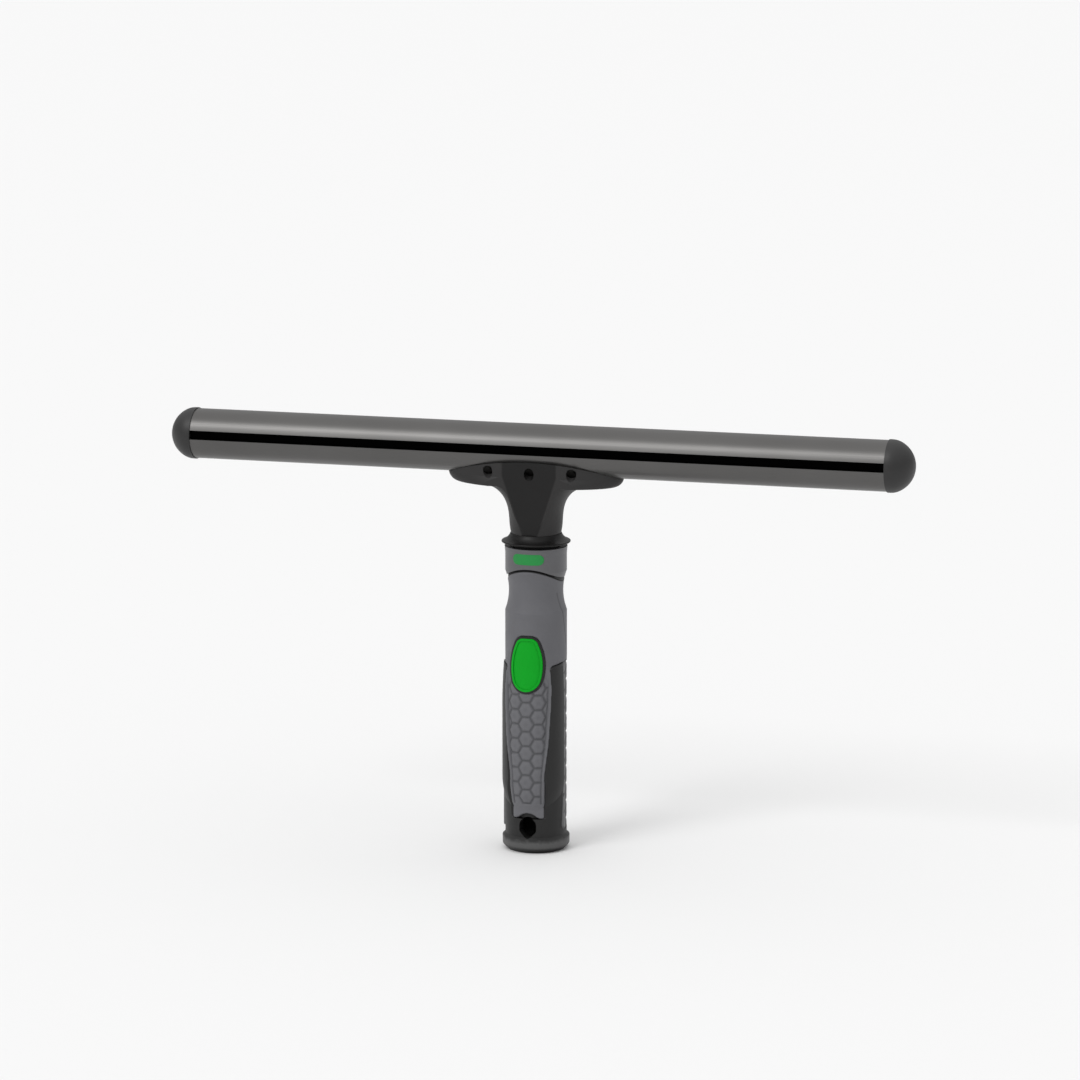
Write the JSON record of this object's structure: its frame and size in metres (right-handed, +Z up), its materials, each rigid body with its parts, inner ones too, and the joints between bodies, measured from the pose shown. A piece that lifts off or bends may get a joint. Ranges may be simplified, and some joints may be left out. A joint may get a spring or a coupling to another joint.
{
  "type": "window scrubber",
  "caption": "T-bar window scrubber handle: capped round bar on a neck that swivels in a straight grip, released by a push button.",
  "frame": {"origin": "centre of the foot of the handle, on the plane it stands on", "axes": "+Z up the handle, which is the swivel axis; +X along the bar; the push button faces -Y"},
  "size_m": [0.455, 0.0433, 0.2559],
  "materials": {
    "black_anodised_tube": "gloss",
    "cap_black": "satin",
    "neck_black": "satin",
    "core_black": "satin",
    "grip_grey": "matte",
    "rear_grip_grey": "matte",
    "collar_grey": "satin",
    "button_green": "satin",
    "inlay_green": "gloss",
    "bush_white": "satin",
    "seal_rubber": "matte",
    "steel": "satin"
  },
  "bodies": {
    "handle": {"handle_core": "core_black", "front_grip": "grip_grey", "rear_grip": "rear_grip_grey", "collar": "collar_grey", "badge_inlay": "inlay_green", "button_bezel": "cap_black", "socket_stop": "core_black", "lock_spring": "steel", "lock_spring_screw": "steel", "button_spring": "steel", "lower_bush": "bush_white", "upper_bush": "bush_white", "swivel_seal": "seal_rubber"},
    "head": {"neck_saddle": "neck_black", "bar_tube": "black_anodised_tube", "end_cap_left": "cap_black", "end_cap_right": "cap_black", "saddle_screws": "steel", "drip_skirt": "neck_black", "index_ring": "steel", "retaining_washer": "steel", "retaining_screw": "steel"},
    "button": {"lock_button": "button_green"}
  },
  "joints": [
    {"name": "head_swivel", "type": "hinge", "parent": "handle", "child": "head", "pos_m": [0, 0, 0.16], "axis": [0, 0, 1], "range_deg": [-90, 90], "deforming": ["lock_spring"]},
    {"name": "button_push", "type": "slide", "parent": "handle", "child": "button", "axis": [0, 1, 0], "range_m": [0, 0.0025], "stiffness_N_per_m": 900, "springref_m": -0.002, "deforming": ["button_spring", "lock_spring"]}
  ]
}
